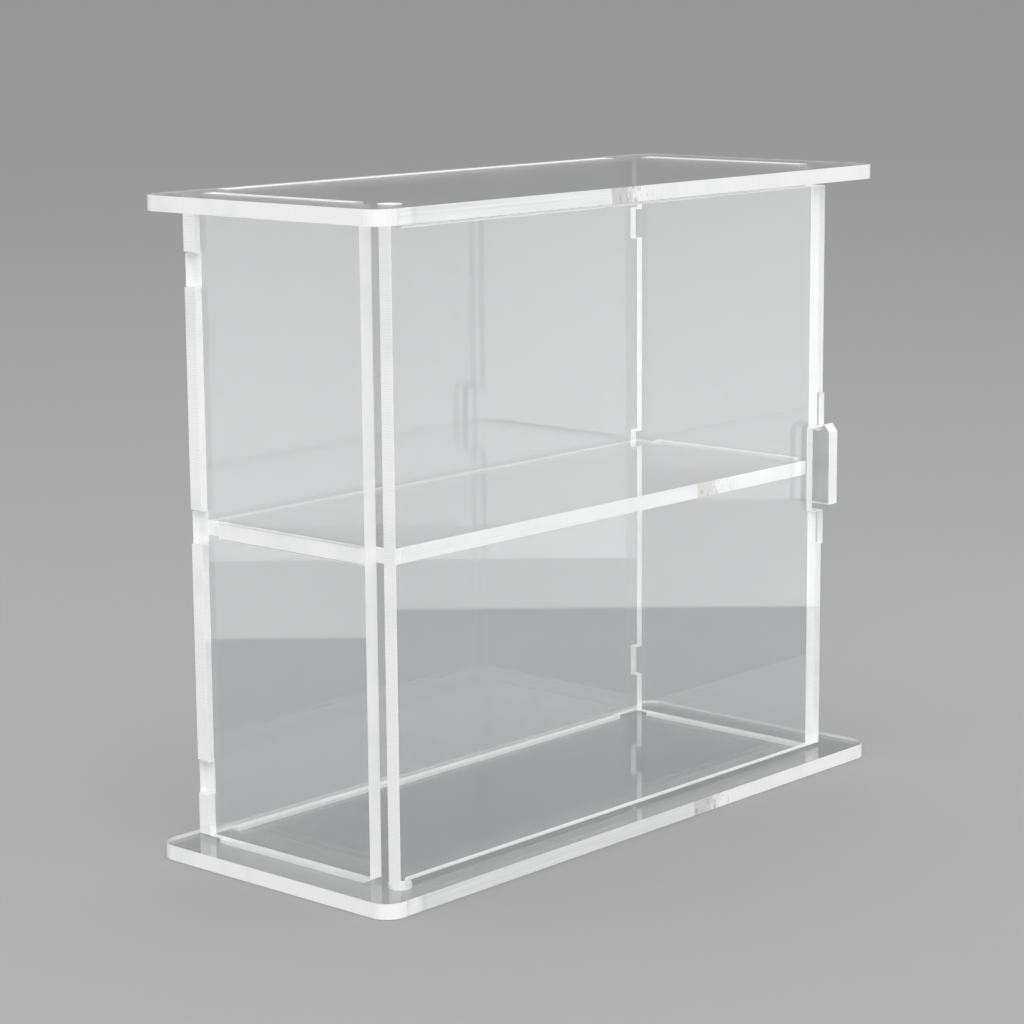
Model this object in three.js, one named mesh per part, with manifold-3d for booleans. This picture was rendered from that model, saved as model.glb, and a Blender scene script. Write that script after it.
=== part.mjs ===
// Clear acrylic display case: seven laser-cut sheets that slot together, with one shelf and a swinging door.
// Millimetres. +Z is up, the door is on the -Y side, and the origin lies under the middle of the base plate.
import * as THREE from "three";
import { mergeVertices } from "three/addons/utils/BufferGeometryUtils.js";
import Module from "manifold-3d";

const wasm = await Module();
wasm.setup();

// Driving dimensions of the sheets
const sheet = 3;
const caseLength = 133;
const endDepth = 47.3;
const hingeSetback = 3.3;
const lowerBay = 60;
const upperBay = 60;

// Base and top plates
const sideOverhang = 9;
const frontLip = 6.8;
const backOverhang = 2.1;
const plateCornerRadius = 4;

// Clearances between the sheets
const slotGap = 0.15;
const seatGap = 0.1;
const tabInset = 0.2;

// Tabs of the walls in the two plates
const endTabFrontMargin = 2;
const endTabBackMargin = 3;
const backTabMargin = 9.2;

// Fingers of the end panels in the back panel
const fingerHeight = 6.4;
const fingerMargin = 8.5;
const fingerRecess = 0.5;

// Shelf
const shelfSetback = 0.5;
const shelfTabFrontMargin = 4.1;
const shelfTabBackMargin = 5;

// Door and its pivots
const doorGap = 0.3;
const doorLeftInset = 1.2;
const doorRightInset = 0.3;
const doorFootGap = 0.6;
const doorHeadGap = 1.25;
const pivotGap = 0.15;
const pivotFootInset = 0.3;
const pivotHeadInset = 1.1;

// Latch: a notch with two finger ears in the door, and a barbed hook on the right end panel
const notchHeight = 18;
const notchSideGap = 0.7;
const earHeight = 7.4;
const earReach = 0.6;
const hookHeadGap = 0.3;
const hookFootGap = 1.85;
const barbStart = 1.1;
const barbRun = 1.25;
const barbRise = 1.4;
const tipRun = 1.35;
const tipDrop = 1.6;

// Round stretches, and how far a cutter stands out of the sheet that it cuts
const cornerSegments = 10;
const cutterOvershoot = 1;

// Worked-out sizes. Lengths run from the left end panel's outer face, depths from the right end panel's front
// edge and heights from the base plate's top face. The left end panel stands back from the door's hinge edge.
const wallHeight = lowerBay + sheet + upperBay;
const wallFoot = seatGap;
const wallHead = wallHeight - seatGap;
const backFace = endDepth + seatGap;
const caseDepth = backFace + sheet;
const doorFront = -doorGap - sheet;
const plateLeft = -sideOverhang;
const plateRight = caseLength + sideOverhang;
const plateFront = doorFront - frontLip;
const plateBack = caseDepth + backOverhang;
const tabReach = sheet - tabInset;
const leftTabFront = hingeSetback + endTabFrontMargin;
const rightTabFront = endTabFrontMargin;
const tabBack = endDepth - endTabBackMargin;
const shelfTabFront = shelfTabFrontMargin;
const shelfTabBack = endDepth - shelfTabBackMargin;
const fingerEnd = caseDepth - fingerRecess;
const fingerFeet = [
  fingerMargin,
  (wallHeight - fingerHeight) / 2,
  wallHeight - fingerMargin - fingerHeight,
];

const doorLeft = doorLeftInset;
const doorRight = caseLength - doorRightInset;
const doorFoot = doorFootGap;
const doorHead = wallHeight - doorHeadGap;
const pivotX = doorLeft + sheet / 2;
const pivotY = doorFront + sheet / 2;
const pivotHoleRadius = sheet * Math.SQRT1_2 + pivotGap;
const notchFoot = (doorFoot + doorHead - notchHeight) / 2;
const notchHead = notchFoot + notchHeight;
const notchEnd = caseLength - sheet - notchSideGap;

// The finished case's origin, in the lengths, depths and heights above
const originX = (plateLeft + plateRight) / 2;
const originY = (plateFront + plateBack) / 2;
const originZ = -sheet;

function polygon(points) {
  return points.map(([x, y]) => new THREE.Vector2(x, y));
}

function rectangle(left, right, foot, head) {
  return new THREE.Shape(polygon([[left, foot], [right, foot], [right, head], [left, head]]));
}

function circle(x, y, radius) {
  const quarter = Math.PI / 2;
  const outline = new THREE.Shape();
  for (const corner of [0, 1, 2, 3]) {
    outline.absarc(x, y, radius, corner * quarter, (corner + 1) * quarter);
  }
  return outline;
}

// A slot is the tab that it takes, with the slot gap all round.
function slot(left, right, foot, head) {
  return rectangle(left - slotGap, right + slotGap, foot - slotGap, head + slotGap);
}

function roundedRectangle(left, right, foot, head, radius) {
  const outline = new THREE.Shape();
  const quarter = Math.PI / 2;
  outline.absarc(right - radius, foot + radius, radius, -quarter, 0);
  outline.absarc(right - radius, head - radius, radius, 0, quarter);
  outline.absarc(left + radius, head - radius, radius, quarter, 2 * quarter);
  outline.absarc(left + radius, foot + radius, radius, 2 * quarter, 3 * quarter);
  return outline;
}

function clearAcrylic() {
  return new THREE.MeshStandardMaterial({
    color: 0xe9eeee,
    roughness: 0.06,
    metalness: 0,
    transparent: true,
    opacity: 0.35,
    flatShading: true,
  });
}

function extrude(outline, depth) {
  return new THREE.ExtrudeGeometry(outline, { depth, bevelEnabled: false, curveSegments: cornerSegments });
}

function toSolid(geometry) {
  geometry.deleteAttribute("normal");
  geometry.deleteAttribute("uv");
  const merged = mergeVertices(geometry);
  return new wasm.Manifold(new wasm.Mesh({
    numProp: 3,
    vertProperties: new Float32Array(merged.attributes.position.array),
    triVerts: new Uint32Array(merged.index.array),
  }));
}

function toGeometry(solid) {
  const { vertProperties, triVerts } = solid.getMesh();
  const geometry = new THREE.BufferGeometry();
  geometry.setAttribute("position", new THREE.BufferAttribute(vertProperties, 3));
  geometry.setIndex(new THREE.BufferAttribute(triVerts, 1));
  return geometry;
}

// One sheet: an outline from stock of the sheet's thickness, with its slots cut right through
function cutSheet(name, outline, slots) {
  let solid = toSolid(extrude(outline, sheet));
  for (const slotOutline of slots) {
    const cutter = extrude(slotOutline, sheet + 2 * cutterOvershoot);
    cutter.translate(0, 0, -cutterOvershoot);
    solid = solid.subtract(toSolid(cutter));
  }
  const mesh = new THREE.Mesh(toGeometry(solid), clearAcrylic());
  mesh.name = name;
  return mesh;
}

// A level sheet is drawn along X and Y, and its underside lies at the given height.
function layLevel(mesh, underside) {
  mesh.position.set(-originX, -originY, underside - originZ);
  return mesh;
}

// A sheet along the case is drawn along X and Z, and its rear face lies at the given depth.
function standLengthways(mesh, rear) {
  mesh.rotation.x = Math.PI / 2;
  mesh.position.set(-originX, rear - originY, -originZ);
  return mesh;
}

// A sheet across the case is drawn along Y and Z, and its left face lies at the given length.
function standCrossways(mesh, left) {
  mesh.quaternion.set(0.5, 0.5, 0.5, 0.5);
  mesh.position.set(left - originX, -originY, -originZ);
  return mesh;
}

// The base and top plates are one cutting: slots for the walls and a round hole for the door's pivot.
function plate(name, underside) {
  const outline = roundedRectangle(plateLeft, plateRight, plateFront, plateBack, plateCornerRadius);
  const slots = [
    slot(0, sheet, leftTabFront, tabBack),
    slot(caseLength - sheet, caseLength, rightTabFront, tabBack),
    slot(backTabMargin, caseLength - backTabMargin, backFace, caseDepth),
    circle(pivotX, pivotY, pivotHoleRadius),
  ];
  return layLevel(cutSheet(name, outline, slots), underside);
}

// The hook that the door's notch closes over: a flat neck, a barb that rises in front of the door, and a sloped tip
function hookOutline() {
  const neckHead = notchHead - hookHeadGap;
  const neckFoot = notchFoot + hookFootGap;
  const barbFoot = doorFront - barbStart;
  const barbPeak = barbFoot - barbRun;
  const tip = barbPeak - tipRun;
  return [
    [0, neckHead],
    [barbFoot, neckHead],
    [barbPeak, neckHead + barbRise],
    [tip, neckHead + barbRise - tipDrop],
    [tip, neckFoot],
    [0, neckFoot],
  ];
}

function endPanel(name, left, front, tabFront, frontEdge) {
  const fingers = fingerFeet.flatMap((foot) => [
    [endDepth, foot],
    [fingerEnd, foot],
    [fingerEnd, foot + fingerHeight],
    [endDepth, foot + fingerHeight],
  ]);
  const outline = new THREE.Shape(polygon([
    [front, wallFoot],
    [tabFront, wallFoot],
    [tabFront, -tabReach],
    [tabBack, -tabReach],
    [tabBack, wallFoot],
    [endDepth, wallFoot],
    ...fingers,
    [endDepth, wallHead],
    [tabBack, wallHead],
    [tabBack, wallHeight + tabReach],
    [tabFront, wallHeight + tabReach],
    [tabFront, wallHead],
    [front, wallHead],
    ...frontEdge,
  ]));
  const shelfSlot = slot(shelfTabFront, shelfTabBack, lowerBay, lowerBay + sheet);
  return standCrossways(cutSheet(name, outline, [shelfSlot]), left);
}

// The back panel covers the end panels' back edges and is notched at both ends for their fingers.
function backPanel() {
  const notchDepth = sheet + slotGap;
  const rightNotches = fingerFeet.flatMap((foot) => [
    [caseLength, foot - slotGap],
    [caseLength - notchDepth, foot - slotGap],
    [caseLength - notchDepth, foot + fingerHeight + slotGap],
    [caseLength, foot + fingerHeight + slotGap],
  ]);
  const leftNotches = rightNotches.map(([x, z]) => [caseLength - x, z]).reverse();
  const outline = new THREE.Shape(polygon([
    [0, wallFoot],
    [backTabMargin, wallFoot],
    [backTabMargin, -tabReach],
    [caseLength - backTabMargin, -tabReach],
    [caseLength - backTabMargin, wallFoot],
    [caseLength, wallFoot],
    ...rightNotches,
    [caseLength, wallHead],
    [caseLength - backTabMargin, wallHead],
    [caseLength - backTabMargin, wallHeight + tabReach],
    [backTabMargin, wallHeight + tabReach],
    [backTabMargin, wallHead],
    [0, wallHead],
    ...leftNotches,
  ]));
  return standLengthways(cutSheet("back_panel", outline, []), caseDepth);
}

// The shelf's two end tabs pass through the end panels and carry it.
function shelf() {
  const left = sheet + seatGap;
  const right = caseLength - sheet - seatGap;
  const outline = new THREE.Shape(polygon([
    [left, shelfSetback],
    [right, shelfSetback],
    [right, shelfTabFront],
    [caseLength - tabInset, shelfTabFront],
    [caseLength - tabInset, shelfTabBack],
    [right, shelfTabBack],
    [right, endDepth],
    [left, endDepth],
    [left, shelfTabBack],
    [tabInset, shelfTabBack],
    [tabInset, shelfTabFront],
    [left, shelfTabFront],
  ]));
  return layLevel(cutSheet("shelf", outline, []), lowerBay);
}

// The door turns on a square pivot at each corner of its left edge. Its right edge has the latch notch between two
// finger ears.
function door() {
  const pivotRight = doorLeft + sheet;
  const pivotFoot = pivotFootInset - sheet;
  const pivotHead = wallHeight + sheet - pivotHeadInset;
  const earRight = doorRight + earReach;
  const outline = new THREE.Shape(polygon([
    [doorLeft, pivotFoot],
    [pivotRight, pivotFoot],
    [pivotRight, doorFoot],
    [doorRight, doorFoot],
    [doorRight, notchFoot - earHeight],
    [earRight, notchFoot - earHeight],
    [earRight, notchFoot],
    [notchEnd, notchFoot],
    [notchEnd, notchHead],
    [earRight, notchHead],
    [earRight, notchHead + earHeight],
    [doorRight, notchHead + earHeight],
    [doorRight, doorHead],
    [pivotRight, doorHead],
    [pivotRight, pivotHead],
    [doorLeft, pivotHead],
  ]));
  return standLengthways(cutSheet("door_panel", outline, []), -doorGap);
}

const displayCase = new THREE.Group();
displayCase.name = "display_case";
displayCase.add(
  plate("base_plate", -sheet),
  plate("top_plate", wallHeight),
  endPanel("left_end_panel", 0, hingeSetback, leftTabFront, []),
  endPanel("right_end_panel", caseLength - sheet, 0, rightTabFront, hookOutline()),
  backPanel(),
  shelf(),
  door(),
);

export default displayCase;
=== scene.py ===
"""A clear acrylic display case: slotted sheets with laser-cut edges, a shelf and a swinging door."""
import math

import bmesh
import bpy
from bpy.props import FloatProperty, FloatVectorProperty, IntProperty, PointerProperty
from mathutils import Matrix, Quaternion, Vector, noise


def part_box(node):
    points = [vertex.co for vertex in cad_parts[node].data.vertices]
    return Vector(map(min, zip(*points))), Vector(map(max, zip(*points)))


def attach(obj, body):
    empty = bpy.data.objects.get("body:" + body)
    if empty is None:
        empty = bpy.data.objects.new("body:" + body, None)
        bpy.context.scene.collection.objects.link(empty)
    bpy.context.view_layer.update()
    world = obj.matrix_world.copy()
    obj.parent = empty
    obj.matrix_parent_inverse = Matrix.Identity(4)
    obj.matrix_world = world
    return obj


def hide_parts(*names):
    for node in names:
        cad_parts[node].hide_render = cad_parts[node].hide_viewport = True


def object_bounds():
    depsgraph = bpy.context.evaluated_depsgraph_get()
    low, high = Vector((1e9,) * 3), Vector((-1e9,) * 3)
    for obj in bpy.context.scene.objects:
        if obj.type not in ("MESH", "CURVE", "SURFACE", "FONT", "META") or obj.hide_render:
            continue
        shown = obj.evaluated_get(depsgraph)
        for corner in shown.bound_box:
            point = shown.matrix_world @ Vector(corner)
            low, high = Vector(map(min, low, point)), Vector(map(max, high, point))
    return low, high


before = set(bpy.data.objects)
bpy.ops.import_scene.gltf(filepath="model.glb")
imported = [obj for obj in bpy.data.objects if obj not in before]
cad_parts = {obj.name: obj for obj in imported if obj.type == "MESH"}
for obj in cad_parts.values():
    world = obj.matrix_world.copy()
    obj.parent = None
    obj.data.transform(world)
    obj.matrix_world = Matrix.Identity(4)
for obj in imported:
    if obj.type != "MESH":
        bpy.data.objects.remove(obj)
cad_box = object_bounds()

bl_info = {
    "name": "Acrylic Display Case",
    "version": (1, 0, 0),
    "blender": (4, 5, 0),
    "location": "3D View > Sidebar > Display Case",
    "description": "Clear slotted sheets with laser-cut edges, a shelf and a door, on a studio stage",
    "category": "Add Mesh",
}

WHITE = (1.0, 1.0, 1.0)

# Sheets: their material slots, and the noise layer that each one's pulse lines are drawn from
FACE_SLOT = 0
EDGE_SLOT = 1
CLEAR_EDGE_SLOT = 2
RIPPLE_KEYS = {
    "base_plate": 1.5, "top_plate": 2.5, "left_end_panel": 3.5, "right_end_panel": 4.5,
    "back_panel": 5.5, "shelf": 6.5, "door_panel": 7.5,
}
RIPPLE_STRETCH = 1.7
# Sheets whose pulse lines get the darker painted shade
RIBBED_NODES = ("right_end_panel", "back_panel", "door_panel")
MERGE_DISTANCE = 1e-6
FLAT_ANGLE = math.radians(1)
RIM_ANGLE = math.radians(30)
FRONT_DEPTH = 0.0006
FACING = 0.9

# Clear faces: dust specks, smears and the share of the lamps' light that passes
SPECK_SCALE = 900.0
SPECK_RANGE = (0.80, 0.83)
SMEAR_SCALE = 35.0
SMEAR_RANGE = (0.35, 0.75)
SMEAR_ROUGHNESS = 0.04
FACE_SHARE = 0.96

# Clear stretch of a front edge: streaks drawn out along X
DRAWN_SCALE = (25.0, 0.0, 2200.0)
DRAWN_RANGE = (0.3, 0.7)
DRAWN_ROUGHNESS = (0.22, 0.10)
DRAWN_BUMP = (0.2, 0.00004)
CLEAR_EDGE_TRANSMISSION = 0.6
CLEAR_EDGE_SHARE = 0.9

# Frosted edges: pulse lines with painted shade along them, greyer patches, and streaks and burns where a
# clear stretch ends
WAVE_RATE = 10
WAVE_DISTORTION = 4.0
WAVE_DETAIL_SCALE = 0.7
# Painted shade: the part of the pulse lines' wave over which their colour darkens
LINE_RANGE = (0.0, 0.6)
LINE_BUMP = (0.25, 0.00003)
PATCH_SCALE = 70.0
PATCH_RANGE = (0.45, 0.75)
PATCH_GLOSS_RANGE = (0.35, 0.7)
PATCH_ROUGHNESS = (0.30, 0.42)
STREAK_SCALE = (1500.0, 0.0, 500.0)
STREAK_RANGE = (1.0, 1.2)
STREAK_WEIGHT = 0.8
BURN_SCALE = (900.0, 0.0, 600.0)
BURN_RANGE = (0.56, 0.66)
FROSTED_SHARE = 0.65

# Stage: floor, softboxes, camera and light paths
FLOOR_REACH = 150.0
FLOOR_DROP = 0.0002
FLOOR_ROUGHNESS = 0.9
OVERHEAD_LIFT = 0.9
OVERHEAD_SIZE = 1.0
FILL_ELEVATION = math.radians(30)
FILL_TURN = math.radians(10)
FILL_DISTANCE = 1.74
FILL_SIZE = 1.6
SENSOR_WIDTH = 36.0
FIRST_BOUNCE = 0.5
MOST_BOUNCES = 24
GLOSSY_BOUNCES = 8
TRANSPARENT_BOUNCES = 32


class SheetCut(bpy.types.PropertyGroup):
    """How the laser leaves the sheets"""

    rim_bevel: FloatProperty(
        name="Rim bevel", description="Width of the melted rim round every cut",
        default=0.00012, min=0, precision=5, unit="LENGTH")
    rim_segments: IntProperty(
        name="Rim segments", description="Steps across the melted rim", default=2, min=1)
    ripple_pitch: FloatProperty(
        name="Ripple pitch", description="Distance between the laser's pulse lines along a cut",
        default=0.00047, min=0.0002, precision=5, unit="LENGTH")
    ripple_depth: FloatProperty(
        name="Ripple depth", description="How far the pulse lines stand in and out of a cut",
        default=0.000008, min=0, precision=6, unit="LENGTH")
    clear_start: FloatProperty(
        name="Clear stretch start", description="From a level sheet's left end to its clear front stretch",
        default=0.005, min=0, precision=4, unit="LENGTH")
    base_clear_end: FloatProperty(
        name="Base clear end", description="X at which the base's front edge turns frosted",
        default=0.014, precision=4, unit="LENGTH")
    shelf_clear_end: FloatProperty(
        name="Shelf clear end", description="X at which the shelf's front edge turns frosted",
        default=0.026, precision=4, unit="LENGTH")
    top_clear_end: FloatProperty(
        name="Top clear end", description="X at which the top's front edge turns frosted",
        default=-0.012, precision=4, unit="LENGTH")
    streaky_run: FloatProperty(
        name="Streaky run", description="Length of the streaky, scorched stretch between clear and frosted",
        default=0.016, min=0.001, precision=4, unit="LENGTH")


class AcrylicLook(bpy.types.PropertyGroup):
    """Colours and finish of the acrylic"""

    clear_tint: FloatVectorProperty(
        name="Clear tint", description="What the clear faces let through",
        default=(0.985, 0.99, 0.99), min=0, max=1, subtype="COLOR")
    dust_tint: FloatVectorProperty(
        name="Dust tint", description="Fine specks that lie on the faces",
        default=(0.90, 0.90, 0.90), min=0, max=1, subtype="COLOR")
    refraction: FloatProperty(
        name="Refractive index", description="How strongly the acrylic bends light", default=1.49, min=1)
    edge_white: FloatVectorProperty(
        name="Edge white", description="Frosted white of a cut edge",
        default=(0.97, 0.97, 0.965), min=0, max=1, subtype="COLOR")
    edge_grey: FloatVectorProperty(
        name="Edge grey", description="Slightly greyer patches of a cut edge",
        default=(0.88, 0.885, 0.89), min=0, max=1, subtype="COLOR")
    edge_clear: FloatVectorProperty(
        name="Clear edge", description="What the clear stretch of a front edge lets through",
        default=(0.90, 0.905, 0.91), min=0, max=1, subtype="COLOR")
    edge_shade: FloatVectorProperty(
        name="Clear edge shade", description="Darker lines drawn along the clear stretch of a front edge",
        default=(0.74, 0.745, 0.75), min=0, max=1, subtype="COLOR")
    streak_grey: FloatVectorProperty(
        name="Streak grey", description="Clear streaks where a front edge turns frosted",
        default=(0.58, 0.58, 0.58), min=0, max=1, subtype="COLOR")
    # Painted shade: how bright the pulse lines' colour stays, on the smooth and on the ribbed sheets
    smooth_edge_line_shade: FloatProperty(
        name="Fine lines", description="How bright the pulse lines stay on a smooth cut edge",
        default=0.97, min=0, max=1, subtype="FACTOR")
    ribbed_edge_line_shade: FloatProperty(
        name="Deep lines", description="How bright the pulse lines stay on a finely ribbed cut edge",
        default=0.91, min=0, max=1, subtype="FACTOR")
    edge_glow: FloatProperty(
        name="Edge glow", description="Share of the light from inside a sheet that a cut edge lets out",
        default=0.15, min=0, max=1, subtype="FACTOR")
    scorch: FloatVectorProperty(
        name="Scorch", description="Faint warm marks that the laser leaves",
        default=(0.50, 0.40, 0.31), min=0, max=1, subtype="COLOR")


class StudioStage(bpy.types.PropertyGroup):
    """Floor, light and camera"""

    floor_colour: FloatVectorProperty(
        name="Floor", description="Colour of the plain floor",
        default=(0.36, 0.36, 0.365), min=0, max=1, subtype="COLOR")
    backdrop_colour: FloatVectorProperty(
        name="Backdrop", description="Colour that shows past the floor and in the sheets",
        default=(0.31, 0.31, 0.315), min=0, max=1, subtype="COLOR")
    world_level: FloatProperty(
        name="World level", description="Even light from all round", default=0.84, min=0)
    softbox_level: FloatProperty(
        name="Softbox level", description="Light from the two side softboxes", default=0.15, min=0)
    mirror_level: FloatProperty(
        name="Mirror level", description="Brightness of the softboxes where the sheets mirror them",
        default=1.45, min=0)
    overhead_level: FloatProperty(
        name="Overhead level", description="Light from the softbox above", default=0.5, min=0)
    fill_level: FloatProperty(
        name="Fill level", description="Light from the large softbox behind the camera", default=3.1, min=0)
    softbox_width: FloatProperty(
        name="Softbox width", description="Width of a side softbox", default=0.42, unit="LENGTH")
    softbox_height: FloatProperty(
        name="Softbox height", description="Height of a side softbox", default=0.112, unit="LENGTH")
    softbox_distance: FloatProperty(
        name="Softbox distance", description="From the wall that mirrors it to a side softbox",
        default=0.18, unit="LENGTH")
    softbox_foot: FloatProperty(
        name="Softbox foot", description="Height of a side softbox's lower rim",
        default=0.005, unit="LENGTH")
    camera_place: FloatVectorProperty(
        name="Camera place", description="Where the camera stands",
        default=(-0.43616, -0.38564, 0.16948), subtype="TRANSLATION")
    camera_aim: FloatVectorProperty(
        name="Camera aim", description="The point at the middle of the picture",
        default=(-0.00298, 0.00287, 0.06137), subtype="TRANSLATION")
    camera_roll: FloatProperty(
        name="Camera roll", description="Tilt of the camera about its axis",
        default=math.radians(-0.451), subtype="ANGLE")
    lens: FloatProperty(
        name="Lens", description="Focal length in millimetres on a 36 mm sensor", default=102.266, min=1)


def thin_axis(node):
    """Index of the axis along which a sheet is thin."""
    low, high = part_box(node)
    extent = [high[i] - low[i] for i in range(3)]
    return extent.index(min(extent))


def is_flat(face, axis):
    """True for a sheet's two polished faces, and False for its cut edges and rims."""
    return abs(face.normal[axis]) > math.cos(FLAT_ANGLE)


def ripple(place, axis, key, cut):
    """How far a pulse line stands out of the cut at a place, the same right through the sheet."""
    line = Vector(place) / (RIPPLE_STRETCH * cut.ripple_pitch)
    line[axis] = key
    return noise.noise(line) * cut.ripple_depth


def cut_pulse_lines(bm, axis, key, cut):
    """Splits each cut edge into narrow strips across the sheet, and moves them in and out by a hair."""
    corners = set(bm.verts)
    for wall in [f for f in bm.faces if not is_flat(f, axis)]:
        rims = [e for e in wall.edges if abs((e.verts[0].co - e.verts[1].co)[axis]) < MERGE_DISTANCE]
        cuts = int(min(e.calc_length() for e in rims) / cut.ripple_pitch)
        if cuts:
            bmesh.ops.subdivide_edges(bm, edges=rims, cuts=cuts)
    bm.normal_update()
    moves = []
    for vert in set(bm.verts) - corners:
        outward = sum((f.normal for f in vert.link_faces if not is_flat(f, axis)), Vector()).normalized()
        moves.append((vert, outward * ripple(vert.co, axis, key, cut)))
    for vert, move in moves:
        vert.co += move


def bevel_rims(bm, axis, cut):
    """Rounds the rims and corners that the laser's heat melts."""
    bm.normal_update()
    rims = [e for e in bm.edges if len(e.link_faces) == 2 and e.calc_face_angle() > RIM_ANGLE]
    bmesh.ops.bevel(
        bm, geom=rims, offset=cut.rim_bevel, offset_type="OFFSET", segments=cut.rim_segments,
        profile=0.5, affect="EDGES", clamp_overlap=True, material=-1)


def clear_run(node, cut):
    """The X range over which a level sheet's front edge is clear, or None for an upright sheet."""
    ends = {"base_plate": cut.base_clear_end, "shelf": cut.shelf_clear_end, "top_plate": cut.top_clear_end}
    if node not in ends:
        return None
    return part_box(node)[0][0] + cut.clear_start, ends[node]


def give_slots(bm, axis, run, front):
    """Gives the faces their material slots: clear, frosted and, on a front edge, a clear stretch."""
    for face in bm.faces:
        face.material_index = FACE_SLOT if is_flat(face, axis) else EDGE_SLOT
        if run and face.normal.y < -FACING:
            middle = face.calc_center_median()
            if middle.y < front + FRONT_DEPTH and run[0] < middle.x < run[1]:
                face.material_index = CLEAR_EDGE_SLOT


def make_sheet(context, node, name, body):
    """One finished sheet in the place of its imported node, with clear faces and laser-cut edges."""
    scene = context.scene
    cut = scene.sheet_cut
    axis = thin_axis(node)
    bm = bmesh.new()
    bm.from_mesh(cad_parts[node].data)
    bmesh.ops.remove_doubles(bm, verts=bm.verts, dist=MERGE_DISTANCE)
    bmesh.ops.dissolve_limit(bm, angle_limit=FLAT_ANGLE, verts=bm.verts, edges=bm.edges)
    cut_pulse_lines(bm, axis, RIPPLE_KEYS[node], cut)
    bevel_rims(bm, axis, cut)
    bm.normal_update()
    run = clear_run(node, cut)
    give_slots(bm, axis, run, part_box(node)[0][1])
    mesh = bpy.data.meshes.new(name)
    bm.to_mesh(mesh)
    bm.free()
    piece = bpy.data.objects.new(name, mesh)
    scene.collection.objects.link(piece)
    mesh.materials.append(clear_faces(scene.acrylic_look))
    mesh.materials.append(laser_cut_edge(scene.acrylic_look, cut, node, axis))
    if run:
        mesh.materials.append(clear_edge(scene.acrylic_look))
    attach(piece, body)
    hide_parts(node)
    return piece


def new_material(name):
    """An empty node material, with its nodes and links."""
    material = bpy.data.materials.new(name)
    material.use_nodes = True
    material.node_tree.nodes.clear()
    return material, material.node_tree.nodes, material.node_tree.links


def ramp(nodes, links, value, stops):
    """The colour that a value takes between two (place, colour) stops."""
    node = nodes.new("ShaderNodeValToRGB")
    for element, (place, colour) in zip(node.color_ramp.elements, stops):
        element.position = place
        element.color = (*colour, 1)
    links.new(value, node.inputs["Fac"])
    return node.outputs["Color"]


def span(nodes, links, value, low, high, start=0.0, end=1.0):
    """A value mapped from one range to another, and kept inside it."""
    node = nodes.new("ShaderNodeMapRange")
    node.inputs["From Min"].default_value = low
    node.inputs["From Max"].default_value = high
    node.inputs["To Min"].default_value = start
    node.inputs["To Max"].default_value = end
    links.new(value, node.inputs["Value"])
    return node.outputs["Result"]


def maths(nodes, links, operation, first, second):
    """A Math node on two sockets, or on a socket and a number."""
    node = nodes.new("ShaderNodeMath")
    node.operation = operation
    for socket, value in zip(node.inputs, (first, second)):
        if isinstance(value, (int, float)):
            socket.default_value = value
        else:
            links.new(value, socket)
    return node.outputs[0]


def blend(nodes, links, factor, first, second, blend_type="MIX"):
    """Two colours mixed by a factor, each of which is a socket or a set value."""
    node = nodes.new("ShaderNodeMix")
    node.data_type = "RGBA"
    node.blend_type = blend_type
    colours = [socket for socket in node.inputs if socket.type == "RGBA"]
    for socket, value in zip((node.inputs["Factor"], *colours), (factor, first, second)):
        if isinstance(value, bpy.types.NodeSocket):
            links.new(value, socket)
        else:
            socket.default_value = value
    return next(socket for socket in node.outputs if socket.type == "RGBA")


def noise_on(nodes, links, vector, scale, detail=2.0, roughness=0.5):
    """A noise texture on a vector socket."""
    node = nodes.new("ShaderNodeTexNoise")
    node.inputs["Scale"].default_value = scale
    node.inputs["Detail"].default_value = detail
    node.inputs["Roughness"].default_value = roughness
    links.new(vector, node.inputs["Vector"])
    return node.outputs["Fac"]


def scaled(nodes, links, scale):
    """Object coordinates, scaled along each axis."""
    mapping = nodes.new("ShaderNodeMapping")
    mapping.inputs["Scale"].default_value = scale
    links.new(nodes.new("ShaderNodeTexCoord").outputs["Object"], mapping.inputs["Vector"])
    return mapping.outputs["Vector"]


def bump_on(nodes, links, shader, height, strength, distance):
    """Lets a height stand out of a shader's surface."""
    bump = nodes.new("ShaderNodeBump")
    bump.inputs["Strength"].default_value = strength
    bump.inputs["Distance"].default_value = distance
    links.new(height, bump.inputs["Height"])
    links.new(bump.outputs["Normal"], shader.inputs["Normal"])


def open_to_lamps(nodes, links, shader, share):
    """Ends a material with a shader that lets a share of the lamps' light pass."""
    clear = nodes.new("ShaderNodeBsdfTransparent")
    clear.inputs["Color"].default_value = (share, share, share, 1)
    mix = nodes.new("ShaderNodeMixShader")
    links.new(nodes.new("ShaderNodeLightPath").outputs["Is Shadow Ray"], mix.inputs[0])
    links.new(shader.outputs[0], mix.inputs[1])
    links.new(clear.outputs[0], mix.inputs[2])
    output = nodes.new("ShaderNodeOutputMaterial")
    links.new(mix.outputs[0], output.inputs["Surface"])


def clear_faces(look):
    """Clear polished acrylic with faint smears and a little dust."""
    found = bpy.data.materials.get("clear_acrylic_faces")
    if found:
        return found
    material, nodes, links = new_material("clear_acrylic_faces")
    place = nodes.new("ShaderNodeTexCoord").outputs["Object"]
    shader = nodes.new("ShaderNodeBsdfPrincipled")
    shader.inputs["Transmission Weight"].default_value = 1.0
    shader.inputs["IOR"].default_value = look.refraction
    specks = noise_on(nodes, links, place, SPECK_SCALE, detail=1.0)
    dust = ramp(nodes, links, specks, zip(SPECK_RANGE, (look.clear_tint, look.dust_tint)))
    links.new(dust, shader.inputs["Base Color"])
    smears = noise_on(nodes, links, place, SMEAR_SCALE, detail=4.0)
    links.new(span(nodes, links, smears, *SMEAR_RANGE, 0.0, SMEAR_ROUGHNESS), shader.inputs["Roughness"])
    open_to_lamps(nodes, links, shader, FACE_SHARE)
    return material


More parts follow.
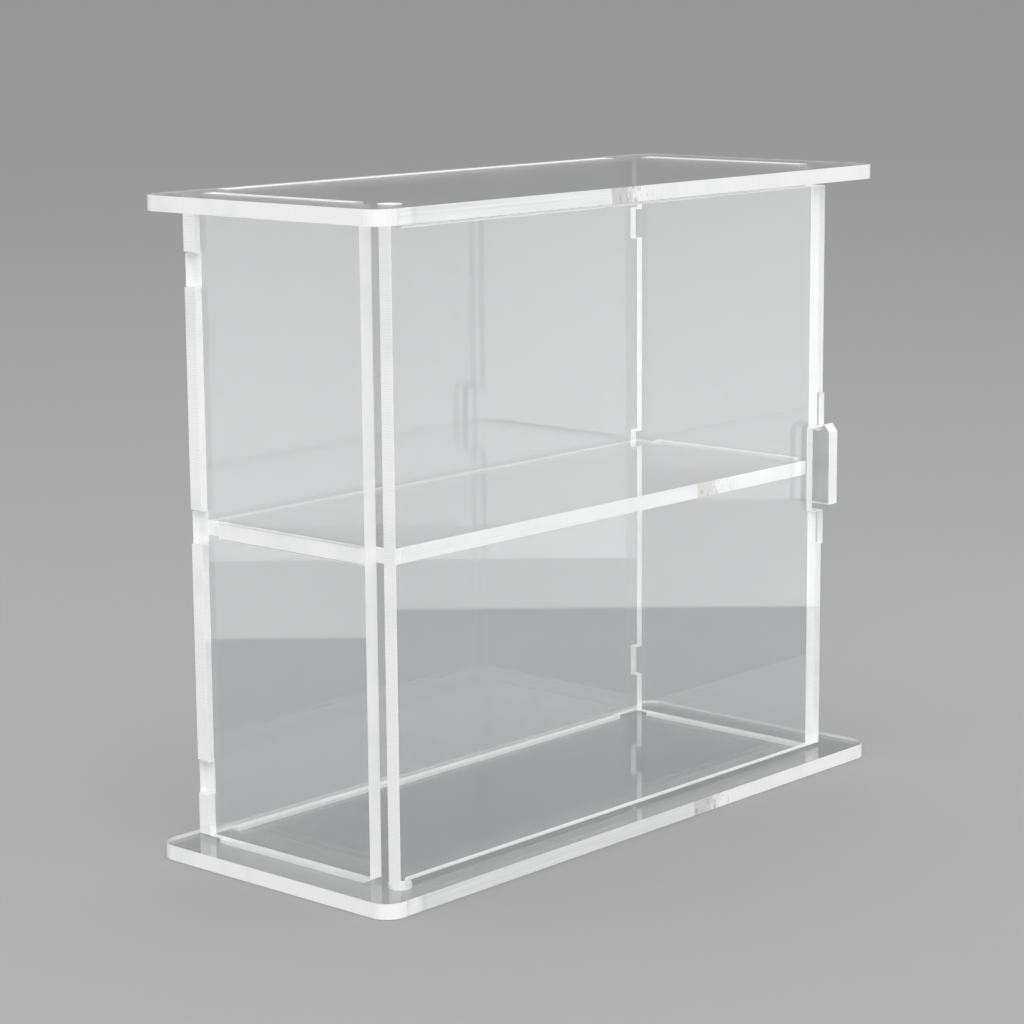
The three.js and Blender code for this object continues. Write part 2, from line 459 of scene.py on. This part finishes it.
def clear_edge(look):
    """Clear stretch of a front edge, drawn out along X by the laser."""
    found = bpy.data.materials.get("clear_acrylic_edge")
    if found:
        return found
    material, nodes, links = new_material("clear_acrylic_edge")
    drawn = scaled(nodes, links, DRAWN_SCALE)
    streaks = noise_on(nodes, links, drawn, 1.0, detail=3.0, roughness=0.6)
    shader = nodes.new("ShaderNodeBsdfPrincipled")
    shader.inputs["Transmission Weight"].default_value = CLEAR_EDGE_TRANSMISSION
    shader.inputs["IOR"].default_value = look.refraction
    shade = ramp(nodes, links, streaks, zip(DRAWN_RANGE, (look.edge_shade, look.edge_clear)))
    links.new(shade, shader.inputs["Base Color"])
    links.new(span(nodes, links, streaks, *DRAWN_RANGE, *DRAWN_ROUGHNESS), shader.inputs["Roughness"])
    bump_on(nodes, links, shader, streaks, *DRAWN_BUMP)
    open_to_lamps(nodes, links, shader, CLEAR_EDGE_SHARE)
    return material


def pulse_lines(nodes, links, along, pitch):
    """Fine lines across a cut edge, one for each pulse of the laser, which give the edge its bump and its
    painted shade.
    """
    wave = nodes.new("ShaderNodeTexWave")
    wave.bands_direction = "DIAGONAL"
    wave.inputs["Scale"].default_value = math.tau / (WAVE_RATE * pitch)
    wave.inputs["Distortion"].default_value = WAVE_DISTORTION
    wave.inputs["Detail"].default_value = 2.0
    wave.inputs["Detail Scale"].default_value = WAVE_DETAIL_SCALE
    links.new(along, wave.inputs["Vector"])
    return wave.outputs["Fac"]


def streaky_stretch(nodes, links, node, cut):
    """One at the clear end of a level sheet's front edge, falling to none where it is frosted."""
    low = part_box(node)[0]
    start = clear_run(node, cut)[1]
    place = nodes.new("ShaderNodeSeparateXYZ")
    links.new(nodes.new("ShaderNodeTexCoord").outputs["Object"], place.inputs[0])
    past = span(nodes, links, place.outputs["X"], start - cut.ripple_pitch, start)
    fading = span(nodes, links, place.outputs["X"], start, start + cut.streaky_run, 1.0, 0.0)
    depth = low[1] + FRONT_DEPTH
    front = span(nodes, links, place.outputs["Y"], depth, depth + FRONT_DEPTH, 1.0, 0.0)
    return maths(nodes, links, "MULTIPLY", maths(nodes, links, "MULTIPLY", past, fading), front)


def laser_cut_edge(look, cut, node, axis):
    """Frosted edge of one sheet, with pulse lines across the sheet that carry painted shade, greyer patches
    and scorch marks.
    """
    material, nodes, links = new_material(f"cut_edge_{node}")
    across = [1.0, 1.0, 1.0]
    across[axis] = 0.0
    along = scaled(nodes, links, across)
    lines = pulse_lines(nodes, links, along, cut.ripple_pitch)
    patches = noise_on(nodes, links, along, PATCH_SCALE, detail=3.0, roughness=0.6)
    tone = ramp(nodes, links, patches, zip(PATCH_RANGE, (look.edge_white, look.edge_grey)))
    # Painted shade: the pulse lines' colour is darkened, more on the ribbed sheets
    depth = look.ribbed_edge_line_shade if node in RIBBED_NODES else look.smooth_edge_line_shade
    line_shade = ramp(nodes, links, lines, zip(LINE_RANGE, ((depth, depth, depth), WHITE)))
    colour = blend(nodes, links, 1.0, tone, line_shade, "MULTIPLY")
    if clear_run(node, cut):
        stretch = streaky_stretch(nodes, links, node, cut)
        broken = noise_on(nodes, links, scaled(nodes, links, STREAK_SCALE), 1.0, detail=3.0, roughness=0.65)
        reach = maths(nodes, links, "ADD", stretch, broken)
        streaked = maths(nodes, links, "MULTIPLY", span(nodes, links, reach, *STREAK_RANGE), STREAK_WEIGHT)
        colour = blend(nodes, links, streaked, colour, (*look.streak_grey, 1))
        burns = noise_on(nodes, links, scaled(nodes, links, BURN_SCALE), 1.0)
        burnt = maths(nodes, links, "MULTIPLY", span(nodes, links, burns, *BURN_RANGE), stretch)
        colour = blend(nodes, links, burnt, colour, (*look.scorch, 1))
    shader = nodes.new("ShaderNodeBsdfPrincipled")
    shader.inputs["IOR"].default_value = look.refraction
    links.new(colour, shader.inputs["Base Color"])
    gloss = span(nodes, links, patches, *PATCH_GLOSS_RANGE, *PATCH_ROUGHNESS)
    links.new(gloss, shader.inputs["Roughness"])
    bump_on(nodes, links, shader, lines, *LINE_BUMP)
    glow = nodes.new("ShaderNodeBsdfTranslucent")
    links.new(colour, glow.inputs["Color"])
    frosted = nodes.new("ShaderNodeMixShader")
    frosted.inputs[0].default_value = look.edge_glow
    links.new(shader.outputs[0], frosted.inputs[1])
    links.new(glow.outputs[0], frosted.inputs[2])
    open_to_lamps(nodes, links, frosted, FROSTED_SHARE)
    return material


class CASE_OT_plates(bpy.types.Operator):
    """Make the base and top plates"""

    bl_idname = "display_case.plates"
    bl_label = "Base and Top Plates"

    def execute(self, context):
        make_sheet(context, "base_plate", "base_sheet", "case")
        make_sheet(context, "top_plate", "top_sheet", "case")
        return {"FINISHED"}


class CASE_OT_end_panels(bpy.types.Operator):
    """Make the two end panels, the right one with the latch hook"""

    bl_idname = "display_case.end_panels"
    bl_label = "End Panels"

    def execute(self, context):
        make_sheet(context, "left_end_panel", "left_end_sheet", "case")
        make_sheet(context, "right_end_panel", "right_end_sheet", "case")
        return {"FINISHED"}


class CASE_OT_back_panel(bpy.types.Operator):
    """Make the back panel"""

    bl_idname = "display_case.back_panel"
    bl_label = "Back Panel"

    def execute(self, context):
        make_sheet(context, "back_panel", "back_sheet", "case")
        return {"FINISHED"}


class CASE_OT_shelf(bpy.types.Operator):
    """Make the middle shelf"""

    bl_idname = "display_case.shelf"
    bl_label = "Shelf"

    def execute(self, context):
        make_sheet(context, "shelf", "shelf_sheet", "case")
        return {"FINISHED"}


class CASE_OT_door(bpy.types.Operator):
    """Make the swinging door"""

    bl_idname = "display_case.door"
    bl_label = "Door"

    def execute(self, context):
        make_sheet(context, "door_panel", "door_sheet", "door")
        return {"FINISHED"}


def seen_in_sheets(nodes, links, path):
    """One for what the sheets mirror or show to the eye, and none for what lights a surface."""
    mirrored, bent = path.outputs["Is Glossy Ray"], path.outputs["Is Transmission Ray"]
    shiny = maths(nodes, links, "MAXIMUM", mirrored, bent)
    unscattered = maths(nodes, links, "LESS_THAN", path.outputs["Diffuse Depth"], FIRST_BOUNCE)
    return maths(nodes, links, "MULTIPLY", shiny, unscattered)


def screen_glow(name, level, mirror_level):
    """A glow on the front of a see-through screen, brighter where the sheets mirror it."""
    material, nodes, links = new_material(name)
    path = nodes.new("ShaderNodeLightPath")
    seen = seen_in_sheets(nodes, links, path)
    mirrored = maths(nodes, links, "GREATER_THAN", path.outputs["Glossy Depth"], FIRST_BOUNCE)
    light = maths(nodes, links, "MULTIPLY", maths(nodes, links, "SUBTRACT", 1.0, seen), level)
    image = maths(nodes, links, "MULTIPLY", maths(nodes, links, "MULTIPLY", seen, mirrored), mirror_level)
    back = nodes.new("ShaderNodeNewGeometry").outputs["Backfacing"]
    front = maths(nodes, links, "SUBTRACT", 1.0, back)
    glow = nodes.new("ShaderNodeEmission")
    strength = maths(nodes, links, "MULTIPLY", maths(nodes, links, "ADD", light, image), front)
    links.new(strength, glow.inputs["Strength"])
    both = nodes.new("ShaderNodeAddShader")
    links.new(glow.outputs[0], both.inputs[0])
    links.new(nodes.new("ShaderNodeBsdfTransparent").outputs[0], both.inputs[1])
    links.new(both.outputs[0], nodes.new("ShaderNodeOutputMaterial").inputs["Surface"])
    return material


def screen(scene, name, place, aim, size, material):
    """A flat softbox screen that glows towards a point, and that doesn't show to the camera."""
    bm = bmesh.new()
    bmesh.ops.create_grid(bm, x_segments=1, y_segments=1, size=0.5)
    bmesh.ops.scale(bm, verts=bm.verts, vec=(*size, 1))
    turn = (Vector(aim) - Vector(place)).to_track_quat("Z", "Y").to_matrix()
    bmesh.ops.rotate(bm, verts=bm.verts, matrix=turn)
    bmesh.ops.translate(bm, verts=bm.verts, vec=place)
    mesh = bpy.data.meshes.new(name)
    bm.to_mesh(mesh)
    bm.free()
    mesh.materials.append(material)
    holder = bpy.data.objects.new(name, mesh)
    holder.visible_camera = False
    holder.visible_shadow = False
    scene.collection.objects.link(holder)


def lamp_box(scene, name, place, aim, size, level):
    """A large soft lamp at a given radiance."""
    lamp = bpy.data.lights.new(name, "AREA")
    lamp.shape = "SQUARE"
    lamp.size = size
    lamp.energy = level * math.pi * size * size
    holder = bpy.data.objects.new(name, lamp)
    holder.location = place
    holder.rotation_mode = "QUATERNION"
    holder.rotation_quaternion = (Vector(aim) - Vector(place)).to_track_quat("-Z", "Y")
    holder.visible_camera = False
    holder.visible_glossy = False
    holder.visible_transmission = False
    scene.collection.objects.link(holder)


class CASE_OT_stage(bpy.types.Operator):
    """Make the plain floor, the studio light and the camera"""

    bl_idname = "display_case.stage"
    bl_label = "Studio Stage"

    def execute(self, context):
        scene = context.scene
        stage = scene.studio_stage
        self.make_floor(scene, stage)
        self.make_world(scene, stage)
        self.make_softboxes(scene, stage)
        self.make_camera(scene, stage)
        scene.view_settings.view_transform = "Standard"
        scene.cycles.max_bounces = MOST_BOUNCES
        scene.cycles.transmission_bounces = MOST_BOUNCES
        scene.cycles.glossy_bounces = GLOSSY_BOUNCES
        scene.cycles.transparent_max_bounces = TRANSPARENT_BOUNCES
        return {"FINISHED"}

    def make_floor(self, scene, stage):
        bm = bmesh.new()
        bmesh.ops.create_grid(bm, x_segments=1, y_segments=1, size=FLOOR_REACH)
        bmesh.ops.translate(bm, verts=bm.verts, vec=(0, 0, -FLOOR_DROP))
        mesh = bpy.data.meshes.new("floor")
        bm.to_mesh(mesh)
        bm.free()
        floor = bpy.data.objects.new("floor", mesh)
        scene.collection.objects.link(floor)
        material = bpy.data.materials.new("plain_floor")
        material.use_nodes = True
        shader = material.node_tree.nodes["Principled BSDF"]
        shader.inputs["Base Color"].default_value = (*stage.floor_colour, 1)
        shader.inputs["Roughness"].default_value = FLOOR_ROUGHNESS
        shader.inputs["Specular IOR Level"].default_value = 0.0
        mesh.materials.append(material)

    def make_world(self, scene, stage):
        world = bpy.data.worlds.new("studio_world")
        world.use_nodes = True
        nodes, links = world.node_tree.nodes, world.node_tree.links
        nodes.clear()
        light = nodes.new("ShaderNodeBackground")
        light.inputs["Color"].default_value = (*WHITE, 1)
        light.inputs["Strength"].default_value = stage.world_level
        backdrop = nodes.new("ShaderNodeBackground")
        backdrop.inputs["Color"].default_value = (*stage.backdrop_colour, 1)
        path = nodes.new("ShaderNodeLightPath")
        seen = seen_in_sheets(nodes, links, path)
        mix = nodes.new("ShaderNodeMixShader")
        links.new(maths(nodes, links, "MAXIMUM", path.outputs["Is Camera Ray"], seen), mix.inputs[0])
        links.new(light.outputs[0], mix.inputs[1])
        links.new(backdrop.outputs[0], mix.inputs[2])
        links.new(mix.outputs[0], nodes.new("ShaderNodeOutputWorld").inputs["Surface"])
        scene.world = world

    def make_softboxes(self, scene, stage):
        low, high = cad_box
        middle = (low + high) / 2
        look = (Vector(stage.camera_aim) - Vector(stage.camera_place)).to_2d().normalized()
        door_middle = Vector((middle.x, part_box("door_panel")[0][1], 0))
        left_middle = Vector((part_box("left_end_panel")[0][0], middle.y, 0))
        lift = Vector((0, 0, stage.softbox_foot + stage.softbox_height / 2))
        size = (stage.softbox_width, stage.softbox_height)
        glow = screen_glow("softbox_glow", stage.softbox_level, stage.mirror_level)
        for name, wall, way in (
            ("right_softbox", door_middle, Vector((look.x, -look.y, 0))),
            ("left_softbox", left_middle, Vector((-look.x, look.y, 0))),
        ):
            screen(scene, name, wall + lift + way * stage.softbox_distance, wall + lift, size, glow)
        overhead = middle + Vector((0, 0, OVERHEAD_LIFT))
        lamp_box(scene, "overhead_softbox", overhead, middle, OVERHEAD_SIZE, stage.overhead_level)
        back = Vector((-look.x, -look.y, math.tan(FILL_ELEVATION)))
        back.rotate(Quaternion((0, 0, 1), FILL_TURN))
        fill = middle + back * FILL_DISTANCE
        glow = screen_glow("fill_glow", stage.fill_level, 0.0)
        screen(scene, "fill_softbox", fill, middle, (FILL_SIZE, FILL_SIZE), glow)

    def make_camera(self, scene, stage):
        data = bpy.data.cameras.new("camera")
        data.lens = stage.lens
        data.sensor_width = SENSOR_WIDTH
        data.clip_end = 3 * FLOOR_REACH
        camera = bpy.data.objects.new("camera", data)
        camera.location = stage.camera_place
        camera.rotation_mode = "QUATERNION"
        level = (Vector(stage.camera_aim) - Vector(stage.camera_place)).to_track_quat("-Z", "Y")
        camera.rotation_quaternion = level @ Quaternion((0, 0, 1), stage.camera_roll)
        scene.collection.objects.link(camera)
        scene.camera = camera


class CASE_PT_sidebar(bpy.types.Panel):
    """Sizes and looks of the display case"""

    bl_idname = "CASE_PT_sidebar"
    bl_label = "Display Case"
    bl_space_type = "VIEW_3D"
    bl_region_type = "UI"
    bl_category = "Display Case"

    def draw(self, context):
        layout = self.layout
        for group in (context.scene.sheet_cut, context.scene.acrylic_look, context.scene.studio_stage):
            column = layout.column()
            for name in group.bl_rna.properties.keys():
                if name not in ("rna_type", "name"):
                    column.prop(group, name)
        for operator in OPERATORS:
            layout.operator(operator.bl_idname)


GROUPS = {"sheet_cut": SheetCut, "acrylic_look": AcrylicLook, "studio_stage": StudioStage}
OPERATORS = (
    CASE_OT_plates, CASE_OT_end_panels, CASE_OT_back_panel, CASE_OT_shelf, CASE_OT_door, CASE_OT_stage,
)


def register():
    for name, group in GROUPS.items():
        bpy.utils.register_class(group)
        setattr(bpy.types.Scene, name, PointerProperty(type=group))
    for operator in OPERATORS:
        bpy.utils.register_class(operator)
    bpy.utils.register_class(CASE_PT_sidebar)


def unregister():
    bpy.utils.unregister_class(CASE_PT_sidebar)
    for operator in reversed(OPERATORS):
        bpy.utils.unregister_class(operator)
    for name, group in reversed(GROUPS.items()):
        delattr(bpy.types.Scene, name)
        bpy.utils.unregister_class(group)


def main():
    register()
    bpy.ops.display_case.plates()
    bpy.ops.display_case.end_panels()
    bpy.ops.display_case.back_panel()
    bpy.ops.display_case.shelf()
    bpy.ops.display_case.door()
    bpy.ops.display_case.stage()


if __name__ == "__main__":
    main()
